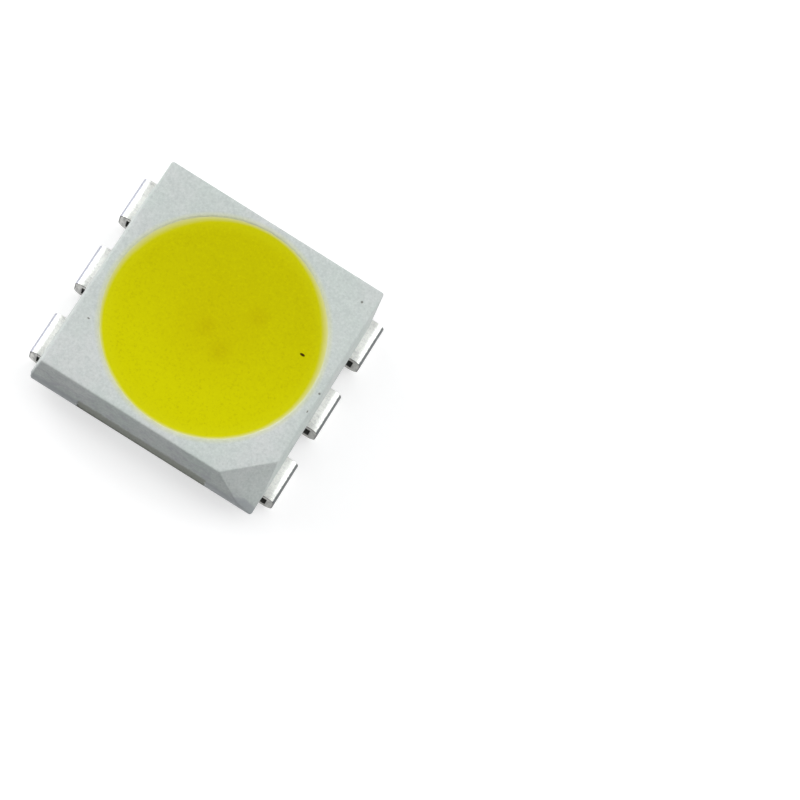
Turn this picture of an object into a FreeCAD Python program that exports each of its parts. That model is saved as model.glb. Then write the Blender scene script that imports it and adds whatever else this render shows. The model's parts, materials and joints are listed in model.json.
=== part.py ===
# Surface-mount LED with three chips in one white moulded housing and six folded leads.
#
# A flat metal lead frame is moulded into a drafted plastic housing with a round reflector
# cup. Three light-emitting chips sit on the frame in the cup, each glued down and joined
# by two bond wires, and a yellow phosphor compound fills the cup. Outside the housing each
# lead folds down the wall and under the body as a solder foot.
#
# Millimetres. The origin is the middle of the outline on the plane of the solder feet.
# +Z is up, the lead rows lie along Y on the +X and -X sides, and the polarity facet is at
# the +X, -Y corner.
import FreeCAD, Part
import os
from math import acos, atan2, cos, degrees, hypot, radians, sin, tan

V = FreeCAD.Vector

# Housing: outline at the parting land, height, and the draft above and below the land.
body_x = 5.00            # across the lead rows
body_y = 5.00            # along the lead rows
top_z = 1.60             # top face above the board
top_inset_x = 0.13       # draft of the upper half, lead sides
top_inset_y = 0.17       # draft of the upper half, plain sides
bottom_inset_x = 0.15    # draft of the lower half, lead sides
bottom_inset_y = 0.17    # draft of the lower half, plain sides
land_h = 0.28            # upright land, from the top of the lead frame upwards
near_corner_r = 0.06     # upright corners of the plain side with the polarity facet
far_corner_r = 0.32      # the other two at the land, where they are roundest
far_bottom_r = 0.12      # and where they run out, at the underside
top_corner_r = 0.04      # all four where they meet the top face
edge_r = 0.03            # round on the edges of the top face, the facet and the bosses
foot_gap = 0.07          # underside of the housing above the feet
facet_x = 0.84           # polarity facet, along the top edge of the plain side
facet_y = 0.77           # polarity facet, along the top edge of the lead side

# Reflector cup and its filling.
rim_wall = 0.16          # narrowest flat rim beside the cup
cup_flare = 0.42         # how far the cup widens from floor to rim
rim_bevel = 0.02         # broken edge round the mouth of the cup
fill_drop = 0.02         # edge of the filling below the top face
fill_dish = 0.035        # sink of the filling from its edge to its middle

# Lead frame and folded leads.
lead_t = 0.16            # sheet thickness
frame_top_z = 0.70       # top of the frame, which is the floor of the cup
lead_w = 0.90
lead_pitch = 1.60
lead_reach = 0.225       # outer face of a lead beyond the outline
bend_r = 0.02            # inside radius of both folds
foot_len = 1.595         # outer face to the cut inner end of the foot
foot_bevel = 0.05        # sheared edge of the foot's inner end

# Pads of the frame inside the housing.
pad_split_x = -0.55      # middle of the gap between chip pads and wire pads
pad_gap = 0.20
pad_edge = 0.20          # pads of the outer leads inside the edge of the cup's floor
pad_neck = 0.55          # depth of the neck that holds each lead in the wall
pad_jog = 0.30           # extra depth of the neck's outer edge on the outer leads
pad_r = 0.05             # corners of the pads

# Chips, adhesive and bond wires.
chip_x = 0.0             # row of chips across the frame
chip_len = 0.58
chip_w = 0.30
chip_t = 0.10
glue_t = 0.02
glue_rim = 0.03          # adhesive squeezed out round each chip
bond_inset = 0.07        # ball from the end of the chip
wire_d = 0.03
rod_sides = 8            # facets drawn round a bond wire
ball_d = 0.08
ball_t = 0.02
wire_rise = 0.10         # straight rise above the ball
loop_r = 0.09            # radius of the loop's top
reach_to_wire_pad = 0.62
reach_to_chip_pad = 0.46

# Flats on the plain sides, where the tie bars of the frame were sheared off.
tie_len = 2.83
tie_depth = 0.02

# Underside: two standing bosses and the gate mark between them.
boss_len = 1.49          # along X, at the root
boss_inner_y = 0.63      # root of the inner face from the middle
boss_clear = 0.07        # boss above the board
boss_end_slope = 0.08
boss_inner_slope = 0.13
gate_r = 0.22
gate_depth = 0.035
gate_nub_r = 0.12

# Worked-out places.
half_x = body_x / 2
half_y = body_y / 2
top_half_x = half_x - top_inset_x
top_half_y = half_y - top_inset_y
bottom_z = lead_t + foot_gap
frame_bottom_z = frame_top_z - lead_t
land_top_z = frame_top_z + land_h
bottom_half_x = half_x - bottom_inset_x
bottom_half_y = half_y - bottom_inset_y
cup_top_r = min(top_half_x, top_half_y) - rim_wall
cup_floor_r = cup_top_r - cup_flare
cup_slope = cup_flare / (top_z - frame_top_z)
glue_top_z = frame_top_z + glue_t
chip_top_z = glue_top_z + chip_t
pad_side_inner_y = lead_w / 2 + pad_gap
pad_side_outer_y = cup_floor_r - pad_edge
chip_row_y = (pad_side_inner_y + pad_side_outer_y) / 2
facet_points = [V(top_half_x - facet_x, -top_half_y, top_z), V(top_half_x, -top_half_y + facet_y, top_z),
                V(half_x, -half_y, frame_top_z)]


def rounded_corner(before, corner, after, radius):
    """Start, middle and end of the arc that rounds one corner of an outline."""
    back = (before - corner).normalize()
    on = (after - corner).normalize()
    half_angle = back.getAngle(on) / 2
    run = radius / tan(half_angle)
    depth = radius / sin(half_angle) - radius
    return corner + back * run, corner + (back + on).normalize() * depth, corner + on * run


def outline(points, radii=None):
    """Closed flat wire through the points, each corner rounded by its own radius."""
    radii = radii or [0] * len(points)
    following = points[1:] + points[:1]
    corners = []
    for i, corner in enumerate(points):
        if radii[i] > 0:
            corners.append(rounded_corner(points[i - 1], corner, following[i], radii[i]))
        else:
            corners.append((corner, corner, corner))
    edges = []
    for i, (start, middle, end) in enumerate(corners):
        if radii[i] > 0:
            edges.append(Part.Arc(start, middle, end).toShape())
        edges.append(Part.makeLine(end, corners[(i + 1) % len(corners)][0]))
    return Part.Wire(edges)


def prism(points, along, radii=None):
    return Part.Face(outline(points, radii)).extrude(along)


def rectangle(half_len, half_wide, z, near_r, far_r):
    """Rectangle about the Z axis, as a wire; its corners are rounded on the -Y and +Y sides."""
    points = [V(sx * half_len, sy * half_wide, z) for sx, sy in ((-1, -1), (1, -1), (1, 1), (-1, 1))]
    return outline(points, [near_r, near_r, far_r, far_r])


def turned(points):
    """Solid of revolution about the Z axis from (radius, height) points."""
    wire = Part.makePolygon([V(r, 0, z) for r, z in points + points[:1]])
    return Part.Face(wire).revolve(V(0, 0, 0), V(0, 0, 1), 360)


def housing_blank():
    """Drafted body with an upright land round it, just above the lead frame."""
    upper = Part.makeLoft([rectangle(half_x, half_y, land_top_z, near_corner_r, far_corner_r),
                           rectangle(top_half_x, top_half_y, top_z, top_corner_r, top_corner_r)], True, True)
    at_frame = rectangle(half_x, half_y, frame_top_z, near_corner_r, far_corner_r)
    land = Part.Face(at_frame).extrude(V(0, 0, land_h))
    lower = Part.makeLoft([rectangle(bottom_half_x, bottom_half_y, bottom_z, near_corner_r, far_bottom_r),
                           at_frame], True, True)
    return upper.fuse([land, lower])


def tapered(side, root, tip):
    """Block on one plain side, from two levels of half length, inner y, outer y and height."""
    wires = []
    for half_len, inner_y, outer_y, z in (root, tip):
        plan = [(-half_len, outer_y), (half_len, outer_y), (half_len, inner_y), (-half_len, inner_y)]
        wires.append(outline([V(x, side * y, z) for x, y in plan]))
    return Part.makeLoft(wires, True, True)


def tie_flat(side):
    """Cutter for the sheared flat on one plain side."""
    depth = 2 * tie_depth
    corner = V(-tie_len / 2, half_y - tie_depth if side > 0 else -half_y + tie_depth - depth, frame_top_z)
    return Part.makeBox(tie_len, depth, top_z - frame_top_z, corner)


def polarity_wedge():
    """Corner that the polarity facet takes off, from the top face to the parting land."""
    along_plain, along_lead, at_land = facet_points
    middle = (along_plain + along_lead) / 2
    wide = 2 * (along_lead - along_plain)
    down = at_land - middle
    corners = [middle - wide - down, middle + wide - down, middle + wide + down, middle - wide + down]
    return prism(corners, down.cross(wide).normalize() * top_z)


def eased_top(body):
    """Body with its top outline and the sides of its polarity facet rounded."""
    at_top = [edge for edge in body.Edges if edge.BoundBox.ZMin > top_z - edge_r]
    facet_middle = (facet_points[0] + facet_points[1] + facet_points[2]) / 3
    facet = min(body.Faces, key=lambda face: (face.CenterOfMass - facet_middle).Length)
    facet_sides = [edge for edge in facet.Edges if edge.BoundBox.DiagonalLength > facet_y / 2
                   and edge.BoundBox.ZMax > top_z - edge_r > edge.BoundBox.ZMin]
    return body.makeFillet(edge_r, at_top + facet_sides)


def cup_cutter():
    """Reflector cup, flared from the frame to the top face, with a broken rim."""
    bevel_z = top_z - rim_bevel
    return turned([(0, frame_top_z), (cup_floor_r, frame_top_z),
                   (cup_top_r - rim_bevel * cup_slope, bevel_z),
                   (cup_top_r + rim_bevel, top_z), (cup_top_r + rim_bevel, top_z + rim_bevel),
                   (0, top_z + rim_bevel)])


def boss(side):
    """Standing boss under one plain side, its outer face in line with the drafted wall."""
    wall_slope = bottom_inset_y / (frame_top_z - bottom_z)
    tip_len = boss_len / 2 - boss_end_slope
    tip_inner_y = boss_inner_y + boss_inner_slope
    tip_outer_y = bottom_half_y - (bottom_z - boss_clear) * wall_slope
    block = tapered(side, (boss_len / 2, boss_inner_y, bottom_half_y, bottom_z),
                    (tip_len, tip_inner_y, tip_outer_y, boss_clear))
    tip_edges = [edge for edge in block.Edges if edge.BoundBox.ZMax < boss_clear + edge_r]
    return block.makeFillet(edge_r, tip_edges)


def gate_mark():
    """Shallow ring left by the moulding gate, with its broken nub in the middle."""
    floor_z = bottom_z + gate_depth
    return turned([(gate_nub_r, bottom_z), (gate_nub_r, floor_z), (gate_r, floor_z), (gate_r, bottom_z)])


def frame_pad(side, row):
    """Flat of one lead inside the housing: its pad in the cup and its neck in the wall."""
    inner = pad_split_x + side * pad_gap / 2
    wall = side * half_x
    neck = side * (half_x - pad_neck)
    if row == 0:
        plan = [(inner, -lead_w / 2), (wall, -lead_w / 2), (wall, lead_w / 2), (inner, lead_w / 2)]
    else:
        near = row * (lead_pitch - lead_w / 2)
        far = row * (lead_pitch + lead_w / 2)
        jog = side * (half_x - pad_neck - pad_jog)
        plan = [(inner, row * pad_side_inner_y), (neck, row * pad_side_inner_y), (neck, near),
                (wall, near), (wall, far), (jog, far), (jog, row * pad_side_outer_y),
                (inner, row * pad_side_outer_y)]
    points = [V(x, y, frame_bottom_z) for x, y in plan]
    radii = [0 if x == wall else pad_r for x, y in plan]
    return prism(points, V(0, 0, lead_t), radii)


def folded_lead(side, row):
    """Lead outside the wall: shoulder, fold, leg, fold, and the foot under the body."""
    wall = half_x
    outer = half_x + lead_reach
    inner = outer - lead_t
    end = outer - foot_len
    outer_r = bend_r + lead_t
    profile = [(wall, frame_top_z, 0), (outer, frame_top_z, outer_r), (outer, 0, outer_r),
               (end + foot_bevel, 0, 0), (end, foot_bevel, 0), (end, lead_t, 0), (inner, lead_t, bend_r),
               (inner, frame_bottom_z, bend_r), (wall, frame_bottom_z, 0)]
    start_y = row * lead_pitch - lead_w / 2
    points = [V(side * x, start_y, z) for x, z, r in profile]
    radii = [r for x, z, r in profile]
    return prism(points, V(0, lead_w, 0), radii)


def lead(side, row):
    return frame_pad(side, row).fuse(folded_lead(side, row)).removeSplitter()


def glue(row):
    """Layer of adhesive under one chip, squeezed out past its edges."""
    layer = rectangle(chip_len / 2 + glue_rim, chip_w / 2 + glue_rim, frame_top_z, glue_rim, glue_rim)
    return Part.Face(layer).extrude(V(0, 0, glue_t)).translated(V(chip_x, row * chip_row_y, 0))


def chip(row):
    corner = V(chip_x - chip_len / 2, row * chip_row_y - chip_w / 2, glue_top_z)
    return Part.makeBox(chip_len, chip_w, chip_t, corner)


def rod_section(centre, along, width):
    """Many-sided flat section, square to the direction given, standing in for a round one."""
    across = V(0, 1, 0)
    up = along.cross(across)
    angles = [radians(360 * (i + 0.5) / rod_sides) for i in range(rod_sides)]
    points = [centre + (across * cos(a) + up * sin(a)) * (width / 2) for a in angles]
    return Part.Face(Part.makePolygon(points + points[:1]))


def bond_wire(side, row):
    """Gold wire from a ball on the chip, over its loop, down to a stitch on the frame."""
    reach = reach_to_chip_pad if side > 0 else reach_to_wire_pad
    drop = chip_top_z + ball_t + wire_rise - frame_top_z
    span = hypot(reach - loop_r, drop)
    turn = acos(-loop_r / span) + atan2(drop, reach - loop_r)
    up = V(0, 0, 1)
    lean = V(side * sin(turn), 0, cos(turn))
    foot = V(chip_x + side * (chip_len / 2 - bond_inset), row * chip_row_y, chip_top_z)
    crest = foot + up * (ball_t + wire_rise)
    hub = crest + V(side * loop_r, 0, 0)
    leave = hub + V(-side * loop_r * cos(turn), 0, loop_r * sin(turn))
    stitch = V(foot.x + side * reach, foot.y, frame_top_z)
    rise = rod_section(foot, up, wire_d).extrude(up * (ball_t + wire_rise))
    loop = rod_section(crest, up, wire_d).revolve(hub, V(0, side, 0), degrees(turn))
    fall = rod_section(leave, lean, wire_d).extrude(stitch - leave + lean * wire_d)
    ball = rod_section(foot, up, ball_d).extrude(up * ball_t)
    stitch_end = rod_section(stitch, up, ball_d).extrude(up * wire_d / 2)
    below = Part.makeBox(body_x, body_y, frame_top_z, V(-half_x, -half_y, 0))
    return rise.fuse([loop, fall, ball, stitch_end]).cut(below).removeSplitter()


def filling(inner_pieces):
    """Phosphor compound that fills the cup round the chips and wires."""
    edge_z = top_z - fill_drop
    edge_r = cup_top_r - fill_drop * cup_slope
    edge = V(edge_r, 0, edge_z)
    centre = V(0, 0, edge_z - fill_dish)
    sphere_r = (edge_r ** 2 + fill_dish ** 2) / (2 * fill_dish)
    half_turn = atan2(edge_r / 2, sphere_r)
    between = V(sphere_r * sin(half_turn), 0, centre.z + sphere_r * (1 - cos(half_turn)))
    floor = V(0, 0, frame_top_z)
    floor_edge = V(cup_floor_r, 0, frame_top_z)
    section = Part.Wire([Part.makeLine(floor, floor_edge), Part.makeLine(floor_edge, edge),
                         Part.Arc(edge, between, centre).toShape(), Part.makeLine(centre, floor)])
    return Part.Face(section).revolve(V(0, 0, 0), V(0, 0, 1), 360).cut(inner_pieces)


def housing(leads):
    """White moulding, with the cup open and the frame moulded in."""
    body = eased_top(housing_blank().cut(polarity_wedge()))
    body = body.fuse([boss(1), boss(-1)]).removeSplitter()
    return body.cut([tie_flat(1), tie_flat(-1), cup_cutter(), gate_mark()] + leads)


sides = {"chip_side": 1, "wire_side": -1}
rows = {"far": 1, "middle": 0, "near": -1}

leads = {f"{side}_lead_{row}": lead(sides[side], rows[row]) for side in sides for row in rows}
glues = {f"die_attach_{row}": glue(rows[row]) for row in rows}
chips = {f"led_chip_{row}": chip(rows[row]) for row in rows}
wires = {f"{side}_bond_wire_{row}": bond_wire(sides[side], rows[row]) for side in sides for row in rows}
inner = list(glues.values()) + list(chips.values()) + list(wires.values())
parts = {"housing": housing(list(leads.values())), "phosphor_filling": filling(inner)}
parts.update(leads)
parts.update(glues)
parts.update(chips)
parts.update(wires)

os.makedirs("parts", exist_ok=True)
for name, shape in parts.items():
    shape.exportStep(f"parts/{name}.step")
    print(name, shape.isValid(), len(shape.Solids), round(shape.Volume, 5))
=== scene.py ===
# %% [markdown]
# # A surface-mount LED, dressed for the camera
#
# The real object is 5 mm square: a white moulded housing with a round window of yellow
# phosphor, and three folded metal leads on each of two sides. The solids come from a CAD
# model. This lesson turns them into what a camera sees: soft moulded edges, plated metal
# that catches the light, and a cloudy yellow filling.

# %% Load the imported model
import bpy, json
from math import pi, radians
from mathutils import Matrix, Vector

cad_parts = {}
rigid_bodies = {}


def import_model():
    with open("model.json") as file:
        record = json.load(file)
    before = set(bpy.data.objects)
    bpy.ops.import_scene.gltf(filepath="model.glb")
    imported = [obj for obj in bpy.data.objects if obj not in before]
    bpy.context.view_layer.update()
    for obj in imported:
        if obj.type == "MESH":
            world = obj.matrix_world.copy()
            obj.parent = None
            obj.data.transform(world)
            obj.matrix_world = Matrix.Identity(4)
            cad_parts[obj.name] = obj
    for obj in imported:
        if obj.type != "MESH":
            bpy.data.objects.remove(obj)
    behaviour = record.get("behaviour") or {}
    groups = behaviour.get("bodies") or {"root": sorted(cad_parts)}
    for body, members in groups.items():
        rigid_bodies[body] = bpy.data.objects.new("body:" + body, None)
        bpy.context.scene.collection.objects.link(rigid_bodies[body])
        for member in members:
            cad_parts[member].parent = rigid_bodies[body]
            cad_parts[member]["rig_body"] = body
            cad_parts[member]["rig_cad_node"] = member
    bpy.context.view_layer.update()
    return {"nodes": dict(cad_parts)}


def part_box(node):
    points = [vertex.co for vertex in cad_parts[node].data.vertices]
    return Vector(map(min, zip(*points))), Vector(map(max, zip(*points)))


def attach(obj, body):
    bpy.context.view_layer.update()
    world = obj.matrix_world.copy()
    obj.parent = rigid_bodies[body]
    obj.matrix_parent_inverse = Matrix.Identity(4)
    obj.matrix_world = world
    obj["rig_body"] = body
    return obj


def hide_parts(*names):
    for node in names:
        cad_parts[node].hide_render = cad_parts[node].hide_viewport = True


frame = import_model()
print("nodes loaded:", len(frame["nodes"]))

# %% [markdown]
# Blender counts in metres, and this object is five thousandths of one. Many modelling
# operators have built-in distances that are too coarse for that. So every piece here is
# worked on at a thousand times its size, where one unit is a millimetre, and shrunk back
# when it is done.

# %% Millimetres
MM = 0.001


def box_mm(node):
    """Lowest and highest corner of a CAD node, in millimetres."""
    low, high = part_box(node)
    return Vector(low) / MM, Vector(high) / MM


body_low, body_high = box_mm("housing")
fill_low, fill_high = box_mm("phosphor_filling")
foot_low, foot_high = box_mm("chip_side_lead_middle")
print("housing is", [round(v, 2) for v in body_high - body_low], "mm")

# %% [markdown]
# ## The camera first
#
# The photograph was taken from almost straight above, a little from the plain side. Its
# place and turn were found by matching the corners of the housing, the round window and the
# leads in the photograph. A long lens from 60 mm away gives the slight narrowing that the
# photograph shows. The near and far clipping distances must fit such a small scene: with
# the usual near distance of 100 mm, the whole object would be cut away.

# %% Camera
CAMERA_PLACE_MM = (2.67, -15.82, 58.71)
CAMERA_TURN_DEG = (13.285, -9.316, 30.909)
CAMERA_LENS_MM = 141.79

camera_data = bpy.data.cameras.new("camera")
camera_data.lens = CAMERA_LENS_MM
camera_data.sensor_width = 36.0
camera_data.clip_start = 1 * MM
camera_data.clip_end = 2.0
camera = bpy.data.objects.new("camera", camera_data)
bpy.context.collection.objects.link(camera)
camera.location = Vector(CAMERA_PLACE_MM) * MM
camera.rotation_euler = [radians(a) for a in CAMERA_TURN_DEG]
bpy.context.scene.camera = camera
bpy.context.scene.view_settings.view_transform = "Standard"
print("camera stands", round(camera.location.length / MM, 1), "mm away")

# %% [markdown]
# ## Floor and light
#
# The photograph has a plain white ground. Here the floor is a wide disc just under the
# feet. A camera, a glossy reflection or a transmitted ray sees it near white, but for soft
# bounced light it is a mid grey, so that it doesn't fill the side walls of the housing with
# light that they don't have in the photograph. The object's shadow still falls on it.

# %% Floor
FLOOR_RADIUS_MM = 900
FLOOR_DROP_MM = 0.01
BOUNCED_GREY = 0.30
SEEN_GREY = 0.62
SEEN_LIFT = 0.54


def new_material(name):
    """Material with an empty node tree and its output, as (material, nodes, links, output)."""
    material = bpy.data.materials.new(name)
    material.use_nodes = True
    nodes, links = material.node_tree.nodes, material.node_tree.links
    nodes.clear()
    return material, nodes, links, nodes.new("ShaderNodeOutputMaterial")


def seen_rays(nodes, links):
    """1 for a ray from the camera, a mirror reflection or a see-through surface, otherwise 0."""
    path = nodes.new("ShaderNodeLightPath")
    total = None
    for ray in ("Is Camera Ray", "Is Glossy Ray", "Is Transmission Ray"):
        if total is None:
            total = path.outputs[ray]
            continue
        larger = nodes.new("ShaderNodeMath")
        larger.operation = "MAXIMUM"
        links.new(total, larger.inputs[0])
        links.new(path.outputs[ray], larger.inputs[1])
        total = larger.outputs[0]
    return total


def floor_material():
    material, nodes, links, output = new_material("studio_floor")
    bounced = nodes.new("ShaderNodeBsdfDiffuse")
    bounced.inputs["Color"].default_value = (*[BOUNCED_GREY] * 3, 1)
    seen = nodes.new("ShaderNodeBsdfDiffuse")
    seen.inputs["Color"].default_value = (*[SEEN_GREY] * 3, 1)
    lift = nodes.new("ShaderNodeEmission")
    lift.inputs["Strength"].default_value = SEEN_LIFT
    added = nodes.new("ShaderNodeAddShader")
    links.new(seen.outputs[0], added.inputs[0])
    links.new(lift.outputs[0], added.inputs[1])
    chosen = nodes.new("ShaderNodeMixShader")
    links.new(seen_rays(nodes, links), chosen.inputs[0])
    links.new(bounced.outputs[0], chosen.inputs[1])
    links.new(added.outputs[0], chosen.inputs[2])
    links.new(chosen.outputs[0], output.inputs["Surface"])
    return material


bpy.ops.object.select_all(action="DESELECT")
bpy.ops.mesh.primitive_circle_add(vertices=96, radius=FLOOR_RADIUS_MM * MM, fill_type="NGON",
                                  location=(0, 0, -FLOOR_DROP_MM * MM))
floor = bpy.context.active_object
floor.name = "studio_floor"
floor.data.materials.append(floor_material())

# %% [markdown]
# The photograph tells where its light came from. Both walls on the lead sides are as light
# as the top face, but the plain wall towards the camera is only half as light. So there is
# a low softbox on each lead side, the left one stronger, and nothing but a plain grey sky on
# the camera's side. A long, dimmer softbox overhead reaches from one side to the other. It
# is what the shoulders of the leads reflect: without it, polished metal would look dark.

# %% Lamps and sky
SKY_LEVEL_LEFT, SKY_LEVEL_RIGHT = 0.40, 0.32


def soft_lamp(name, place_mm, wide_mm, high_mm, strength):
    """Flat lamp that faces the object; its strength is how bright its face is."""
    data = bpy.data.lights.new(name, "AREA")
    data.shape = "RECTANGLE"
    data.size = wide_mm * MM
    data.size_y = high_mm * MM
    data.energy = strength * wide_mm * high_mm * MM ** 2 * pi
    lamp = bpy.data.objects.new(name, data)
    bpy.context.collection.objects.link(lamp)
    lamp.location = Vector(place_mm) * MM
    lamp.rotation_euler = lamp.location.to_track_quat("Z", "Y").to_euler()
    return lamp


soft_lamp("overhead_softbox", (0, 27, 100), 240, 60, 1.05)
soft_lamp("left_softbox", (-92, 12, 36), 116, 74, 2.7)
soft_lamp("right_softbox", (82, 44, 36), 110, 72, 2.0)

world = bpy.data.worlds.new("studio_sky")
bpy.context.scene.world = world
world.use_nodes = True
sky_nodes, sky_links = world.node_tree.nodes, world.node_tree.links
sky_nodes.clear()
direction = sky_nodes.new("ShaderNodeTexCoord")
across = sky_nodes.new("ShaderNodeSeparateXYZ")
sky_links.new(direction.outputs["Generated"], across.inputs[0])
level = sky_nodes.new("ShaderNodeMapRange")
level.inputs["From Min"].default_value = -1
level.inputs["From Max"].default_value = 1
level.inputs["To Min"].default_value = SKY_LEVEL_LEFT
level.inputs["To Max"].default_value = SKY_LEVEL_RIGHT
sky_links.new(across.outputs["X"], level.inputs["Value"])
sky = sky_nodes.new("ShaderNodeBackground")
sky.inputs["Color"].default_value = (0.97, 0.98, 1.0, 1)
sky_links.new(level.outputs["Result"], sky.inputs["Strength"])
sky_out = sky_nodes.new("ShaderNodeOutputWorld")
sky_links.new(sky.outputs[0], sky_out.inputs["Surface"])

# %% [markdown]
# ## From loose triangles to a workable piece
#
# A CAD node arrives as separate flat triangles, so it can be neither smoothed nor bevelled.
# A copy of it is enlarged to millimetres, its corners are merged, and the triangles of each
# flat face are dissolved into one face. What is left is a clean shape that the modelling
# operators understand. The CAD node itself is never touched: the finished copy replaces it.

# %% Working copies
SMOOTH_BELOW = radians(28)
SHARP_ABOVE = radians(32)
FLAT_WITHIN = radians(0.4)
MERGE_MM = 0.0004
CUT_MM = 0.0005


def select_only(piece):
    bpy.ops.object.select_all(action="DESELECT")
    piece.select_set(True)
    bpy.context.view_layer.objects.active = piece


def working_copy(node, name):
    """A merged copy of a CAD node, a thousand times its size, ready for edit mode."""
    select_only(frame["nodes"][node])
    bpy.ops.object.duplicate()
    piece = bpy.context.active_object
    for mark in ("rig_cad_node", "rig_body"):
        del piece[mark]
    bpy.ops.object.parent_clear(type="CLEAR_KEEP_TRANSFORM")
    piece.name = name
    piece.data.materials.clear()
    piece.scale = [1 / MM] * 3
    bpy.ops.object.transform_apply(location=True, rotation=True, scale=True)
    if piece.data.has_custom_normals:
        bpy.ops.mesh.customdata_custom_splitnormals_clear()
    bpy.ops.object.mode_set(mode="EDIT")
    bpy.ops.mesh.select_all(action="SELECT")
    bpy.ops.mesh.remove_doubles(threshold=MERGE_MM)
    bpy.ops.mesh.dissolve_limited(angle_limit=FLAT_WITHIN)
    bpy.ops.mesh.select_all(action="DESELECT")
    bpy.ops.object.mode_set(mode="OBJECT")
    return piece


def soften_edges(piece, width, segments=2, angle=SHARP_ABOVE):
    """Rounds every edge sharper than the angle, as moulding or stamping leaves it."""
    bevel = piece.modifiers.new("soft edges", "BEVEL")
    bevel.width = width
    bevel.segments = segments
    bevel.limit_method = "ANGLE"
    bevel.angle_limit = angle
    bevel.use_clamp_overlap = True
    select_only(piece)
    bpy.ops.object.modifier_apply(modifier=bevel.name)


def finish_piece(piece, *replaced, slot):
    """Smooths the piece, shrinks it to metres and lets it stand for its CAD nodes."""
    select_only(piece)
    bpy.ops.object.shade_smooth_by_angle(angle=SMOOTH_BELOW)
    bpy.ops.object.transform_apply(location=True, rotation=True, scale=True)
    piece.scale = [MM] * 3
    bpy.ops.object.transform_apply(location=False, rotation=False, scale=True)
    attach(piece, "root")
    if replaced:
        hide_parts(*replaced)
    print(piece.name, "faces:", len(piece.data.polygons))
    return piece


# %% [markdown]
# ## The moulded housing
#
# The housing is injection-moulded in a hard white plastic. Its mould leaves no edge truly
# sharp: each one is rounded by a few hundredths of a millimetre, and at this enlargement
# that thin round catches a line of light. The copy gets such a round on all its edges.
#
# In the photograph, the parting land measures a little narrower across the lead rows than the
# nominal body that the solids keep: about 4.91 mm and not 5.00. The two far corners look
# tucked in a little more. What made them so can't be seen, so only the measured shape is
# followed. The corners at the land are drawn in before the edges are rounded, and the wall
# above follows less and less towards the top. For the far corners, a cut across both lead
# walls lets just their ends turn inward.

# %% Housing
HOUSING_ROUND = 0.012
LAND_LOW_MM, LAND_TOP_MM, WALL_TOP_MM = 0.69, 0.98, 1.575
CUP_REACH_MM = 2.30
CORNER_REACH_MM = 2.10
WALL_REACH_MM = 2.20
FACING = 0.9
LAND_SHARE = 0.984
CORNER_SHARE = 0.975
CORNER_CUT_Y_MM = 1.80
HAIR_MM = 0.001


def narrow_land(piece, share, from_y):
    """Draws the land in across the lead rows, level by level, and fades out up the wall."""
    corners = piece.data.vertices
    levels = sorted({round(c.co.z, 3) for c in corners if LAND_LOW_MM < c.co.z < WALL_TOP_MM})
    for level in levels:
        fade = min(1.0, (WALL_TOP_MM - level) / (WALL_TOP_MM - LAND_TOP_MM))
        for c in corners:
            outside = abs(c.co.x) > CORNER_REACH_MM and c.co.xy.length > CUP_REACH_MM
            c.select = outside and c.co.y > from_y and round(c.co.z, 3) == level
        bpy.ops.object.mode_set(mode="EDIT")
        bpy.ops.transform.resize(value=(1 - (1 - share) * fade, 1, 1), center_override=(0, 0, 0))
        bpy.ops.mesh.select_all(action="DESELECT")
        bpy.ops.object.mode_set(mode="OBJECT")
    print("drew in", len(levels), "levels of the land and wall")


housing = working_copy("housing", "moulded_housing")
narrow_land(housing, LAND_SHARE, from_y=body_low.y - 1)
for face in housing.data.polygons:
    face.select = abs(face.normal.x) > FACING and abs(face.center.x) > WALL_REACH_MM
bpy.ops.object.mode_set(mode="EDIT")
bpy.ops.mesh.select_mode(type="FACE")
bpy.ops.mesh.bisect(plane_co=(0, CORNER_CUT_Y_MM, 0), plane_no=(0, 1, 0), threshold=CUT_MM)
bpy.ops.mesh.select_all(action="DESELECT")
bpy.ops.mesh.select_mode(type="VERT")
bpy.ops.object.mode_set(mode="OBJECT")
narrow_land(housing, CORNER_SHARE, from_y=CORNER_CUT_Y_MM + 10 * HAIR_MM)
soften_edges(housing, HOUSING_ROUND)
finish_piece(housing, "housing", slot="housing_plastic")

# %% [markdown]
# ## The folded leads
#
# Each lead is stamped from sheet metal, plated, and folded twice. Stamping leaves its side
# edges slightly rounded. Seen from below, the inner part of the foot is smooth and the outer
# part crinkled, with a crisp line across the foot between them. The smooth part is taken to
# lie a hair deeper; how deep is a guess. Two cuts across the lead make the line, and
# everything inside it on the bottom is lifted.

# %% Leads
COIN_LINE_MM = 1.72
COIN_SLOPE_MM = 0.02
COIN_DEPTH_MM = 0.012
STAMPED_ROUND = 0.014


def cut_across(piece, x):
    """Cuts every face of the piece along one upright plane across the lead."""
    select_only(piece)
    bpy.ops.object.mode_set(mode="EDIT")
    bpy.ops.mesh.select_all(action="SELECT")
    bpy.ops.mesh.bisect(plane_co=(x, 0, 0), plane_no=(1, 0, 0), threshold=CUT_MM)
    bpy.ops.mesh.select_all(action="DESELECT")
    bpy.ops.object.mode_set(mode="OBJECT")


def coin_foot(piece, side):
    """Lifts the smooth inner zone of the foot's underside."""
    for line in (COIN_LINE_MM, COIN_LINE_MM + COIN_SLOPE_MM):
        cut_across(piece, side * line)
    for vertex in piece.data.vertices:
        inside = side * vertex.co.x < COIN_LINE_MM + HAIR_MM
        vertex.select = inside and vertex.co.z < HAIR_MM
    bpy.ops.object.mode_set(mode="EDIT")
    bpy.ops.transform.translate(value=(0, 0, COIN_DEPTH_MM))
    bpy.ops.mesh.select_all(action="DESELECT")
    bpy.ops.object.mode_set(mode="OBJECT")


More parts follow.
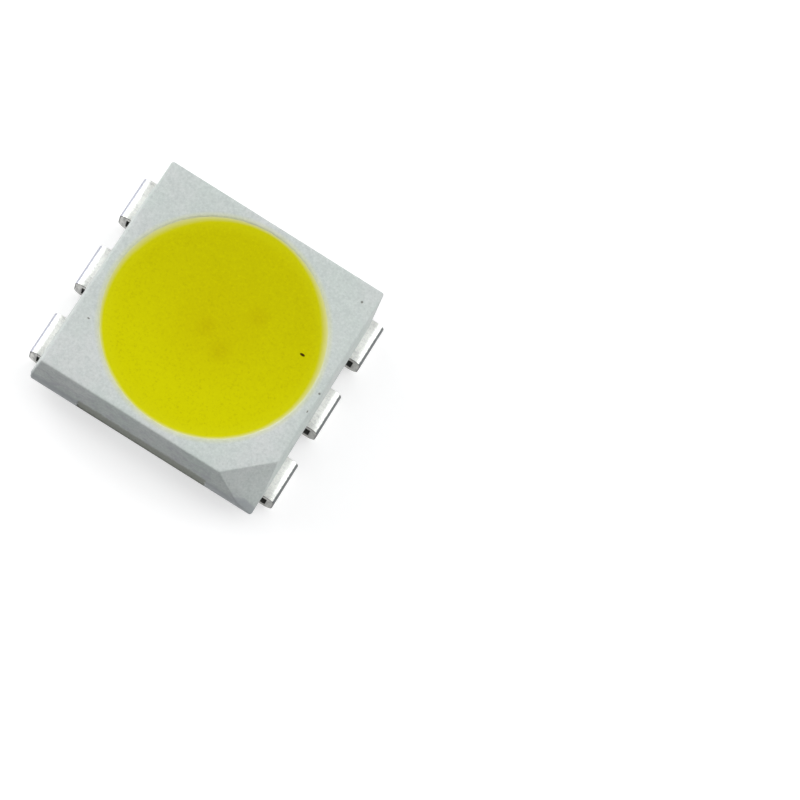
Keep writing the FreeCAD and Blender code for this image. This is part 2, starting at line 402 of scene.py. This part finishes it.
leads = []
for node in sorted(name for name in frame["nodes"] if "_lead_" in name):
    lead = working_copy(node, "plated_" + node)
    coin_foot(lead, 1 if node.startswith("chip") else -1)
    soften_edges(lead, STAMPED_ROUND)
    leads.append(finish_piece(lead, node, slot="lead_metal"))

# %% [markdown]
# ## The phosphor filling
#
# The cup is filled with a clear compound, clouded yellow by phosphor powder. Such a filling
# is poured up to the rim and shrinks a little as it cures. From this angle its depth can't be
# measured, so it is given a usual form: a thin lip on the wall of the cup and a gentle sink
# towards the middle. The CAD solid has the hollows for the chips and wires, so its lower part
# is kept. It is cut off below the surface, and a new, much finer surface is built up from a
# circle, ring by ring, and bridged to what was kept.

# %% Filling
KEEP_BELOW_MM = 1.30
LIP_MM = 0.05
LIP_RISE_MM = 0.008
DISH_MM = 0.035
CUP_WALL_SLOPE = 0.467
SEAM_MM = 0.02
SURFACE_SEGMENTS = 168
RINGS = 14
RING_CROWDING = 1.6

rim_r, rim_z = fill_high.x, fill_high.z
print("filling is", round(2 * rim_r, 2), "mm wide at", round(rim_z, 2), "mm")


def surface_height(r):
    """Height of the cured surface at a distance from the middle."""
    lip = max(0.0, (r - rim_r + LIP_MM) / LIP_MM)
    return rim_z - DISH_MM * (1 - (r / rim_r) ** 2) - LIP_RISE_MM * (1 - lip ** 2)


def ring_radius(share):
    """Radius of a ring: the rings crowd at the lip and are even over the middle."""
    if share > 0.5:
        return rim_r * (1 - (1 - share) ** RING_CROWDING)
    return rim_r * share * (1 - 0.5 ** RING_CROWDING) / 0.5


def ring_at(r, z, old_r, old_z):
    """Extrudes the selected ring to a new radius and height."""
    bpy.ops.mesh.extrude_edges_move(TRANSFORM_OT_translate={"value": (0, 0, z - old_z)})
    bpy.ops.transform.resize(value=(r / old_r, r / old_r, 1), center_override=(0, 0, z))


filling = working_copy("phosphor_filling", "phosphor_surface")
bpy.ops.object.mode_set(mode="EDIT")
bpy.ops.mesh.select_all(action="SELECT")
bpy.ops.mesh.bisect(plane_co=(0, 0, KEEP_BELOW_MM), plane_no=(0, 0, 1), clear_outer=True,
                    threshold=CUT_MM)
bpy.ops.object.mode_set(mode="OBJECT")
start_z = KEEP_BELOW_MM + SEAM_MM
start_r = rim_r - (rim_z - start_z) * CUP_WALL_SLOPE
bpy.ops.mesh.primitive_circle_add(vertices=SURFACE_SEGMENTS, radius=start_r,
                                  location=(0, 0, start_z))
disc = bpy.context.active_object
bpy.ops.object.mode_set(mode="EDIT")
bpy.ops.mesh.select_all(action="SELECT")
ring_at(rim_r, rim_z, start_r, start_z)
last_r, last_z = rim_r, rim_z
for i in range(1, RINGS):
    r = ring_radius(1 - i / RINGS)
    ring_at(r, surface_height(r), last_r, last_z)
    last_r, last_z = r, surface_height(r)
bpy.ops.mesh.extrude_edges_move(TRANSFORM_OT_translate={"value": (0, 0, surface_height(0) - last_z)})
bpy.ops.mesh.merge(type="CENTER")
bpy.ops.object.mode_set(mode="OBJECT")
print("new surface has", len(disc.data.vertices), "corners")

# %% Join the filling's two halves
select_only(filling)
disc.select_set(True)
bpy.ops.object.join()
bpy.ops.object.mode_set(mode="EDIT")
bpy.ops.mesh.select_mode(type="EDGE")
bpy.ops.mesh.select_all(action="DESELECT")
bpy.ops.mesh.select_non_manifold(extend=False, use_wire=False, use_boundary=True,
                                 use_multi_face=False, use_non_contiguous=False, use_verts=False)
bpy.ops.mesh.bridge_edge_loops()
bpy.ops.mesh.select_all(action="SELECT")
bpy.ops.mesh.normals_make_consistent(inside=False)
bpy.ops.mesh.select_all(action="DESELECT")
bpy.ops.mesh.select_mode(type="VERT")
bpy.ops.object.mode_set(mode="OBJECT")
finish_piece(filling, "phosphor_filling", slot="phosphor")

# %% [markdown]
# ## The broken gate
#
# The plastic was shot into the mould through a pin-sized gate under the middle of the body,
# and the runner was broken off. It leaves a small rough stub on a nub in a shallow ring. The
# stub starts as a circle, is drawn out in narrowing steps, and its corners are shaken a little so
# that it looks torn and not turned.

# %% Gate stub
GATE_SEGMENTS = 18
GATE_ROOT_MM = (0.11, 0.25)
GATE_STEPS_MM = ((0.100, 0.235), (0.085, 0.222), (0.055, 0.212), (0.030, 0.214))
TORN_BY_MM = 0.009
GATE_ROUND = 0.004

stub_r, stub_z = GATE_ROOT_MM

bpy.ops.object.select_all(action="DESELECT")
bpy.ops.mesh.primitive_circle_add(vertices=GATE_SEGMENTS, radius=stub_r,
                                  location=(0, 0, stub_z), fill_type="NGON")
stub = bpy.context.active_object
stub.name = "gate_stub"
bpy.ops.object.mode_set(mode="EDIT")
bpy.ops.mesh.select_all(action="SELECT")
for r, z in GATE_STEPS_MM:
    bpy.ops.mesh.extrude_region_move(TRANSFORM_OT_translate={"value": (0, 0, z - stub_z)})
    bpy.ops.transform.resize(value=(r / stub_r, r / stub_r, 1), center_override=(0, 0, z))
    stub_r, stub_z = r, z
bpy.ops.mesh.select_all(action="SELECT")
bpy.ops.transform.vertex_random(offset=TORN_BY_MM, uniform=0.2, normal=0, seed=5)
bpy.ops.mesh.normals_make_consistent(inside=False)
bpy.ops.object.mode_set(mode="OBJECT")
soften_edges(stub, GATE_ROUND)
finish_piece(stub, slot="housing_plastic")

# %% [markdown]
# ## Burrs where the tie bars were sheared
#
# The frame was held by tie bars on the two plain sides, and the shears that cut them left a
# flat on the wall. On the near side, a small bright nib shows at each end of it; part of its
# brightness is a painted highlight on the wall just above it. The far side isn't seen and is
# taken to be the same. One burr is drawn out from a square, narrowed and tilted, and three
# copies are turned to the other ends.

# %% Burrs
BURR_X_MM = 1.405
BURR_Z_MM = 0.76
FLAT_Y_MM = 2.48
BURR_ROOT_MM = (0.07, 0.08)
BURR_LEAN_MM = (0.002, 0.006)
BURR_ROUND = 0.003
BURR_STEPS_MM = ((0.052, 0.060, 0.008), (0.034, 0.038, 0.006), (0.014, 0.016, 0.003))


def burr(name, side_x, side_y):
    """One burr, seated in the wall and drawn out to the land's face."""
    bpy.ops.object.select_all(action="DESELECT")
    bpy.ops.mesh.primitive_plane_add(size=1, location=(0, 0, 0))
    piece = bpy.context.active_object
    piece.name = name
    bpy.ops.object.mode_set(mode="EDIT")
    bpy.ops.mesh.select_all(action="SELECT")
    wide, tall = BURR_ROOT_MM
    bpy.ops.transform.resize(value=(wide, tall, 1), center_override=(0, 0, 0))
    for new_wide, new_tall, rise in BURR_STEPS_MM:
        bpy.ops.mesh.extrude_region_move(TRANSFORM_OT_translate={"value": (*BURR_LEAN_MM, rise)})
        narrowing = (new_wide / wide, new_tall / tall, 1)
        bpy.ops.transform.resize(value=narrowing, center_override=(0, 0, 0))
        wide, tall = new_wide, new_tall
    bpy.ops.mesh.select_all(action="SELECT")
    bpy.ops.mesh.normals_make_consistent(inside=False)
    bpy.ops.object.mode_set(mode="OBJECT")
    piece.rotation_euler = (pi / 2, 0, 0 if side_y < 0 else pi)
    piece.location = (side_x * BURR_X_MM, side_y * (FLAT_Y_MM - HAIR_MM), BURR_Z_MM)
    bpy.ops.object.transform_apply(location=True, rotation=True, scale=True)
    soften_edges(piece, BURR_ROUND)
    return finish_piece(piece, slot="housing_plastic")


ROWS = (("near", -1), ("far", 1))
ENDS = (("chip_side", 1), ("wire_side", -1))
burrs = [burr(f"shear_burr_{row}_{end}", sx, sy) for row, sy in ROWS for end, sx in ENDS]

# %% [markdown]
# ## Building materials from nodes
#
# A material is a small graph. Every pattern here is measured in millimetres from the
# object's own origin, so it stays in place on the part from every side and in every size
# of picture. The little class below only shortens the writing: it adds a node, sets its
# fields, and links whatever is handed to it from another node.

# %% Node helper


class Graph:
    """A material's node graph, with short calls for the nodes used below."""

    def __init__(self, name):
        self.material, self.nodes, self.links, self.output = new_material(name)
        coordinates = self.nodes.new("ShaderNodeTexCoord")
        mapping = self.nodes.new("ShaderNodeMapping")
        mapping.inputs["Scale"].default_value = [1 / MM] * 3
        self.links.new(coordinates.outputs["Object"], mapping.inputs["Vector"])
        self.mm = mapping.outputs["Vector"]
        parts = self.add("ShaderNodeSeparateXYZ", {"Vector": self.mm})
        self.x, self.y, self.z = parts.outputs

    def add(self, kind, inputs=None, **settings):
        node = self.nodes.new(kind)
        for key, value in settings.items():
            setattr(node, key, value)
        for key, value in (inputs or {}).items():
            if isinstance(value, bpy.types.NodeSocket):
                self.links.new(value, node.inputs[key])
            else:
                node.inputs[key].default_value = value
        return node

    def math(self, operation, a, b=0.0, clamp=False):
        return self.add("ShaderNodeMath", {0: a, 1: b}, operation=operation, use_clamp=clamp).outputs[0]

    def noise(self, scale, detail=2.0, roughness=0.5, stretch=None, distortion=0.0):
        """Cloudy pattern between 0 and 1, with scale in waves per millimetre."""
        vector = self.mm
        if stretch:
            vector = self.add("ShaderNodeMapping", {"Vector": self.mm, "Scale": stretch}).outputs[0]
        return self.add("ShaderNodeTexNoise", {"Vector": vector, "Scale": scale, "Detail": detail,
                        "Roughness": roughness, "Distortion": distortion}).outputs["Fac"]

    def step(self, value, low, high, to_low=0.0, to_high=1.0):
        """Smooth change from one level to another while the value goes from low to high."""
        levels = {"Value": value, "From Min": low, "From Max": high,
                  "To Min": to_low, "To Max": to_high}
        return self.add("ShaderNodeMapRange", levels, interpolation_type="SMOOTHSTEP").outputs["Result"]

    def mix(self, factor, a, b, blend="MIX"):
        node = self.add("ShaderNodeMix", data_type="RGBA", blend_type=blend)
        colour_a, colour_b = node.inputs[6], node.inputs[7]
        for socket, value in ((node.inputs["Factor"], factor), (colour_a, a), (colour_b, b)):
            if isinstance(value, bpy.types.NodeSocket):
                self.links.new(value, socket)
            else:
                socket.default_value = value
        return node.outputs[2]

    def vector(self, operation, a, b=(0, 0, 0)):
        return self.add("ShaderNodeVectorMath", {0: a, 1: b}, operation=operation)

    def from_axis(self, x, y):
        """Distance in a plane, from how far along and how far up."""
        flat = self.add("ShaderNodeCombineXYZ", {"X": x, "Y": y}).outputs[0]
        return self.vector("LENGTH", flat).outputs["Value"]

    def spot(self, centre, radius, stretch=(1, 1, 1), edge=0.4):
        """1 inside a small blotch round a point on the object, 0 outside it."""
        offset = self.vector("SUBTRACT", self.mm, centre).outputs[0]
        shape = self.vector("MULTIPLY", offset, stretch).outputs[0]
        far = self.vector("LENGTH", shape).outputs["Value"]
        return self.step(far, radius * (1 - edge), radius, 1.0, 0.0)

    def bump(self, height, depth_mm, strength=1.0, normal=None):
        inputs = {"Height": height, "Distance": depth_mm * MM, "Strength": strength}
        if normal:
            inputs["Normal"] = normal
        return self.add("ShaderNodeBump", inputs).outputs["Normal"]

    def surface(self, **inputs):
        """Ends the graph in one Principled shader."""
        named = {key.replace("_", " "): value for key, value in inputs.items()}
        shader = self.add("ShaderNodeBsdfPrincipled", named)
        self.links.new(shader.outputs[0], self.output.inputs["Surface"])
        return self.material


def paint(*grey_or_rgb):
    """Colour written as it looks on a screen, 0 to 255, turned into Blender's linear values."""
    rgb = grey_or_rgb if len(grey_or_rgb) == 3 else grey_or_rgb * 3
    linear = [c / 255 / 12.92 if c < 11 else ((c / 255 + 0.055) / 1.055) ** 2.4 for c in rgb]
    return (*linear, 1.0)


def dress(piece, material):
    piece.data.materials.clear()
    piece.data.materials.append(material)


# %% [markdown]
# ## White moulding plastic
#
# The housing isn't pure white. It is a cool light grey with faint greenish and pinkish
# clouds, a fine grain from the mould, and a few specks of dirt. The sheared flats on the
# plain sides are coloured darker and faintly olive. Light and shade are painted on too:
# patches and a lower band of painted shade on the wall towards the camera, a painted
# highlight by each near nib, and a painted yellow glow beside the window.

# %% Housing plastic
TIE_HALF_MM = 1.415
WINDOW_R_MM = 2.16
GLOW_MM = 0.12
SOFT_LOOK_MM = 0.04
NIB_HIGHLIGHT_PLACES_MM = ((-1.42, -2.49, 0.86), (1.42, -2.49, 0.86))
NIB_HIGHLIGHT_R_MM = 0.055
DIRT_SPECKS_MM = (((2.327, -0.438, 1.60), 0.036, (2.4, 1.0, 1.0)),
                  ((2.34, -0.02, 1.60), 0.028, (1, 1, 1)),
                  ((-2.059, -1.158, 1.60), 0.032, (1, 1.6, 1)),
                  ((2.477, -1.308, 1.56), 0.045, (1, 1, 1)),
                  ((2.096, 1.953, 1.60), 0.030, (1, 1, 1)))


def housing_plastic():
    g = Graph("housing_plastic")
    clouds = g.noise(0.9, detail=3)
    patches = g.noise(6.0, detail=4, roughness=0.65)
    grain = g.noise(21.0, detail=3, roughness=0.6)
    colour = g.mix(g.step(clouds, 0.35, 0.68), paint(203, 212, 207), paint(210, 214, 212))
    colour = g.mix(g.step(patches, 0.40, 0.70, 0.0, 0.55), colour, paint(195, 203, 200))
    colour = g.mix(g.step(grain, 0.50, 0.72, 0.0, 0.45), colour, paint(184, 191, 188))
    colour = g.mix(g.step(grain, 0.36, 0.50, 0.35, 0.0), colour, paint(224, 229, 227))
    side = g.math("ABSOLUTE", g.y)
    along = g.math("ABSOLUTE", g.x)
    on_side = g.step(side, 2.36, 2.40)
    in_length = g.step(along, TIE_HALF_MM - 0.02, TIE_HALF_MM + 0.01, 1.0, 0.0)
    below = g.step(g.math("ADD", g.z, g.math("MULTIPLY", patches, 0.16)), 1.10, 1.20, 1.0, 0.0)
    sheared = g.math("MULTIPLY", g.math("MULTIPLY", on_side, in_length), below)
    near_wall = g.step(g.math("MULTIPLY", g.y, -1.0), 2.34, 2.38)
    # Painted shade: darker patches on the wall towards the camera only.
    near_shade_noise = g.noise(3.2, detail=4, roughness=0.7, stretch=(1.0, 1.0, 2.0))
    painted_near_shade = g.math("MULTIPLY", near_wall, g.step(near_shade_noise, 0.46, 0.64, 0.0, 0.7))
    colour = g.mix(painted_near_shade, colour, paint(186, 187, 192))
    # Painted shade: the near wall gets darker towards the land at its foot.
    painted_low_shade = g.math("MULTIPLY", near_wall, g.step(g.z, 0.98, 1.10, 0.75, 0.0))
    colour = g.mix(painted_low_shade, colour, paint(178, 183, 186))
    sheared = g.math("MULTIPLY", sheared, g.step(grain, 0.35, 0.65, 0.75, 1.0))
    colour = g.mix(sheared, colour, paint(150, 153, 141))
    # Painted highlights: a light spot on the wall at each end of the near sheared flat, where the nibs
    # catch the light.
    for centre in NIB_HIGHLIGHT_PLACES_MM:
        colour = g.mix(g.spot(centre, NIB_HIGHLIGHT_R_MM, edge=0.8), colour, paint(224, 227, 224))
    r = g.from_axis(g.x, g.y)
    # Painted light: a faint yellow glow on the plastic just beside the window, as if spilled from the
    # filling; it also lightens the shade on the rim's rounded edge.
    beside_window = g.step(r, WINDOW_R_MM, WINDOW_R_MM + GLOW_MM, 0.40, 0.0)
    glow = g.math("MULTIPLY", beside_window, g.step(g.z, 1.40, 1.55))
    colour = g.mix(glow, colour, paint(220, 220, 136))
    for centre, radius, stretch in DIRT_SPECKS_MM:
        speck = g.math("MULTIPLY", g.spot(centre, radius, stretch), 0.75)
        colour = g.mix(speck, colour, paint(84, 80, 72))
    height = g.math("ADD", g.math("MULTIPLY", grain, 0.8), g.math("MULTIPLY", patches, 0.5))
    worn = g.add("ShaderNodeBevel", {"Radius": SOFT_LOOK_MM * MM}, samples=6).outputs[0]
    return g.surface(Base_Color=colour, Roughness=g.step(patches, 0.3, 0.7, 0.50, 0.62),
                     Specular_IOR_Level=0.35, Normal=g.bump(height, 0.012, 0.5, normal=worn))


plastic = housing_plastic()
for piece in (housing, stub, *burrs):
    dress(piece, plastic)
print("plastic has", len(plastic.node_tree.nodes), "nodes")

# %% [markdown]
# ## Phosphor
#
# Seen from above, the filling is a nearly flat yellow. Its middle is a shade more ochre over
# the chips. Towards the rim the layer thins out over the sloping wall of the cup, so the
# white plastic shines through and the yellow fades. The photograph shows that fade wide at
# the far ends of the two lead sides and narrow elsewhere. One dark fibre lies on the surface.

# %% Phosphor
FIBRE_MM = (1.677, 0.46, 1.57)
SMUDGE_R_MM = 0.30
SMUDGES_MM = ((-0.13, -0.06, 1.55), (0.60, 0.63, 1.55), (0.32, -0.34, 1.55))


def phosphor():
    g = Graph("phosphor")
    r = g.from_axis(g.x, g.y)
    clouds = g.noise(1.3, detail=3)
    powder = g.noise(19.0, detail=3, roughness=0.7)
    # Painted light falloff: the yellow is lighter towards the near side and darker towards the far
    # side, with some cloudiness.
    painted_falloff = g.math("ADD", g.y, g.math("MULTIPLY", clouds, 0.8))
    colour = g.mix(g.step(painted_falloff, -1.3, 1.9), paint(213, 210, 0), paint(200, 195, 0))
    colour = g.mix(g.step(r, 0.1, 1.5, 0.45, 0.0), colour, paint(200, 188, 0))
    for centre in SMUDGES_MM:
        smudge = g.math("MULTIPLY", g.spot(centre, SMUDGE_R_MM, edge=1.0), 0.35)
        colour = g.mix(smudge, colour, paint(186, 168, 0))
    colour = g.mix(g.step(powder, 0.50, 0.75, 0.0, 0.45), colour, paint(178, 170, 0))
    colour = g.mix(g.step(powder, 0.30, 0.48, 0.35, 0.0), colour, paint(218, 216, 0))
    beyond = g.math("MAXIMUM", r, 0.1)
    across = g.math("ABSOLUTE", g.math("DIVIDE", g.x, beyond))
    far_half = g.math("ADD", g.math("MULTIPLY", g.math("DIVIDE", g.y, beyond), 0.5), 0.5)
    far_lead_side = g.math("POWER", g.math("MULTIPLY", across, far_half), 2.0)
    colour = g.mix(g.step(r, rim_r - 0.34, rim_r - 0.04, 0.0, 0.5), colour, paint(216, 215, 14))
    fade = g.math("ADD", g.math("MULTIPLY", far_lead_side, 0.20), 0.045)
    fade = g.math("ADD", fade, g.math("MULTIPLY", g.noise(2.6), 0.04))
    inner = g.math("SUBTRACT", rim_r, fade)
    thin = g.math("DIVIDE", g.math("SUBTRACT", r, inner), fade, clamp=True)
    colour = g.mix(g.math("POWER", thin, 1.6), colour, paint(222, 222, 160))
    fibre = g.spot(FIBRE_MM, 0.062, stretch=(1, 2.0, 1), edge=0.3)
    colour = g.mix(fibre, colour, paint(66, 44, 4))
    return g.surface(Base_Color=colour, Roughness=g.step(clouds, 0.3, 0.7, 0.55, 0.65),
                     Specular_IOR_Level=0.03, Normal=g.bump(powder, 0.004, 0.4))


dress(filling, phosphor())

# %% [markdown]
# ## Plated leads
#
# The leads are finished as silver-plated copper. The shoulders carry fine rolling streaks. Under the
# foot, the coined inner zone is smooth with a faint yellow tint, and the outer zone is
# crinkled where the plating was bent. The two stamped flanks of each lead are a duller
# grey, so their faces get a second material.

# %% Lead plating
FOLD_CENTRE_MM = (2.545, 0.52)
RIM_SHADE_R_MM = 0.156
BEND_REFLECTION_EDGE_MM = (2.675, 2.700)
FOLD_SHADOW_EDGE_MM = (2.560, 2.580)
FLANK_FACING = 0.7


def plating():
    g = Graph("plating")
    streaks = g.noise(7.0, detail=5, roughness=0.75, stretch=(0.5, 4.0, 1.0))
    pits = g.noise(20.0, detail=3, roughness=0.7)
    crinkle = g.noise(7.0, detail=5, roughness=0.75, stretch=(0.7, 2.2, 1.0), distortion=1.2)
    reach = g.math("ABSOLUTE", g.x)
    chip_row = g.step(g.x, -0.1, 0.1)
    under = g.step(g.z, 0.04, 0.10, 1.0, 0.0)
    outside = g.step(reach, COIN_LINE_MM, COIN_LINE_MM + COIN_SLOPE_MM)
    coined = g.math("MULTIPLY", under, g.math("SUBTRACT", 1.0, outside))
    crinkled = g.math("MULTIPLY", under, outside)
    colour = g.mix(g.step(pits, 0.42, 0.68), paint(244, 246, 240), paint(226, 228, 225))
    colour = g.mix(g.step(streaks, 0.54, 0.66, 0.0, 0.40), colour, paint(188, 190, 188))
    colour = g.mix(g.math("MULTIPLY", coined, 0.7), colour, paint(228, 230, 206))
    creases = g.math("MULTIPLY", crinkled, g.step(crinkle, 0.5, 0.62, 0.0, 0.6))
    colour = g.mix(creases, colour, paint(150, 154, 162))
    # Painted reflection: the outer round of each bend is painted dark grey on the chip row and lavender
    # grey on the wire row, in place of what it mirrors.
    wavy = g.math("ADD", reach, g.math("MULTIPLY", pits, 0.03))
    painted_bend_reflection = g.math("MULTIPLY", g.step(wavy, *BEND_REFLECTION_EDGE_MM), g.step(g.z, 0.10, 0.56))
    colour = g.mix(painted_bend_reflection, colour, g.mix(chip_row, paint(180, 182, 194), paint(108, 112, 112)))
    # Painted shadow: the inner faces of the fold, between the leg and the wall, are painted nearly
    # black.
    painted_fold_shadow = g.math("MULTIPLY", g.step(g.z, 0.03, 0.08), g.step(g.z, 0.48, 0.55, 1.0, 0.0))
    painted_fold_shadow = g.math("MULTIPLY", painted_fold_shadow, g.step(reach, *FOLD_SHADOW_EDGE_MM, 1.0, 0.0))
    colour = g.mix(g.math("MULTIPLY", painted_fold_shadow, 0.9), colour, paint(40, 38, 36))
    rough = g.math("ADD", g.step(streaks, 0.3, 0.7, 0.26, 0.44), g.math("MULTIPLY", crinkled, 0.06))
    fine = g.bump(g.math("ADD", streaks, g.math("MULTIPLY", pits, 0.5)), 0.012, 0.8)
    folded = g.bump(g.math("MULTIPLY", crinkle, crinkled), 0.030, 0.9, normal=fine)
    return g.surface(Base_Color=colour, Metallic=1.0, Roughness=rough, Normal=folded)


def stamped_flank():
    g = Graph("stamped_flank")
    drag = g.noise(14.0, detail=3, stretch=(1.0, 1.0, 0.35))
    colour = g.mix(g.step(drag, 0.35, 0.65), paint(206, 206, 202), paint(160, 160, 158))
    # Painted reflection: the flanks of the chip-side leads are painted half-way to a darker grey than
    # those of the wire side.
    colour = g.mix(g.step(g.x, -0.1, 0.1), colour, g.mix(0.5, colour, paint(150, 150, 145)))
    # Painted shade: a dark band along the outer curve of each flank, where the round of the bend turns
    # away from the light.
    out = g.math("MAXIMUM", g.math("SUBTRACT", g.math("ABSOLUTE", g.x), FOLD_CENTRE_MM[0]), 0.0)
    up = g.math("MAXIMUM", g.math("SUBTRACT", g.z, FOLD_CENTRE_MM[1]), 0.0)
    depth = g.math("ADD", g.from_axis(out, up), g.math("MULTIPLY", drag, 0.02))
    painted_rim_shade = g.step(depth, RIM_SHADE_R_MM, RIM_SHADE_R_MM + 0.02, 0.0, 0.85)
    colour = g.mix(painted_rim_shade, colour, paint(84, 84, 84))
    return g.surface(Base_Color=colour, Metallic=1.0, Roughness=0.5, Normal=g.bump(drag, 0.012, 0.8))


plate, flank = plating(), stamped_flank()
for lead in leads:
    dress(lead, plate)
    lead.data.materials.append(flank)
    select_only(lead)
    for face in lead.data.polygons:
        face.select = abs(face.normal.y) > FLANK_FACING
    bpy.ops.object.mode_set(mode="EDIT")
    lead.active_material_index = 1
    bpy.ops.object.material_slot_assign()
    bpy.ops.mesh.select_all(action="DESELECT")
    bpy.ops.object.mode_set(mode="OBJECT")
print("leads dressed:", len(leads))

# %% [markdown]
# ## Inside the filling
#
# The chips, their adhesive and the gold wires can't be seen under the filling. Their number
# and places are a guess at what such a part has to hold, and they would show if the filling
# were taken off. They stay as the CAD made them, and each gets the finish of its own stuff.

# %% Buried parts


def bond_gold():
    g = Graph("bond_gold")
    drawn = g.noise(60.0, detail=2)
    colour = g.mix(g.step(drawn, 0.35, 0.65), paint(242, 205, 120), paint(226, 182, 92))
    return g.surface(Base_Color=colour, Metallic=1.0, Roughness=g.step(drawn, 0.3, 0.7, 0.18, 0.3))


def die_adhesive():
    g = Graph("die_adhesive")
    flakes = g.add("ShaderNodeTexVoronoi", {"Vector": g.mm, "Scale": 70.0}).outputs["Distance"]
    colour = g.mix(g.step(flakes, 0.1, 0.6), paint(196, 196, 192), paint(150, 150, 148))
    return g.surface(Base_Color=colour, Metallic=0.6, Roughness=0.55, Normal=g.bump(flakes, 0.002, 0.6))


def chip_crystal():
    g = Graph("chip_crystal")
    side = g.step(g.z, 0.80, 0.82)
    mesa = g.noise(30.0, detail=2)
    top = g.mix(g.step(mesa, 0.4, 0.6), paint(120, 142, 190), paint(96, 112, 160))
    colour = g.mix(side, paint(176, 190, 206), top)
    return g.surface(Base_Color=colour, Roughness=0.15, Coat_Weight=0.5)


buried = {"_bond_wire_": bond_gold(), "die_attach_": die_adhesive(), "led_chip_": chip_crystal()}
for mark, finish in buried.items():
    for name, node in frame["nodes"].items():
        if mark in name:
            dress(node, finish)
print("buried finishes:", sorted(buried))
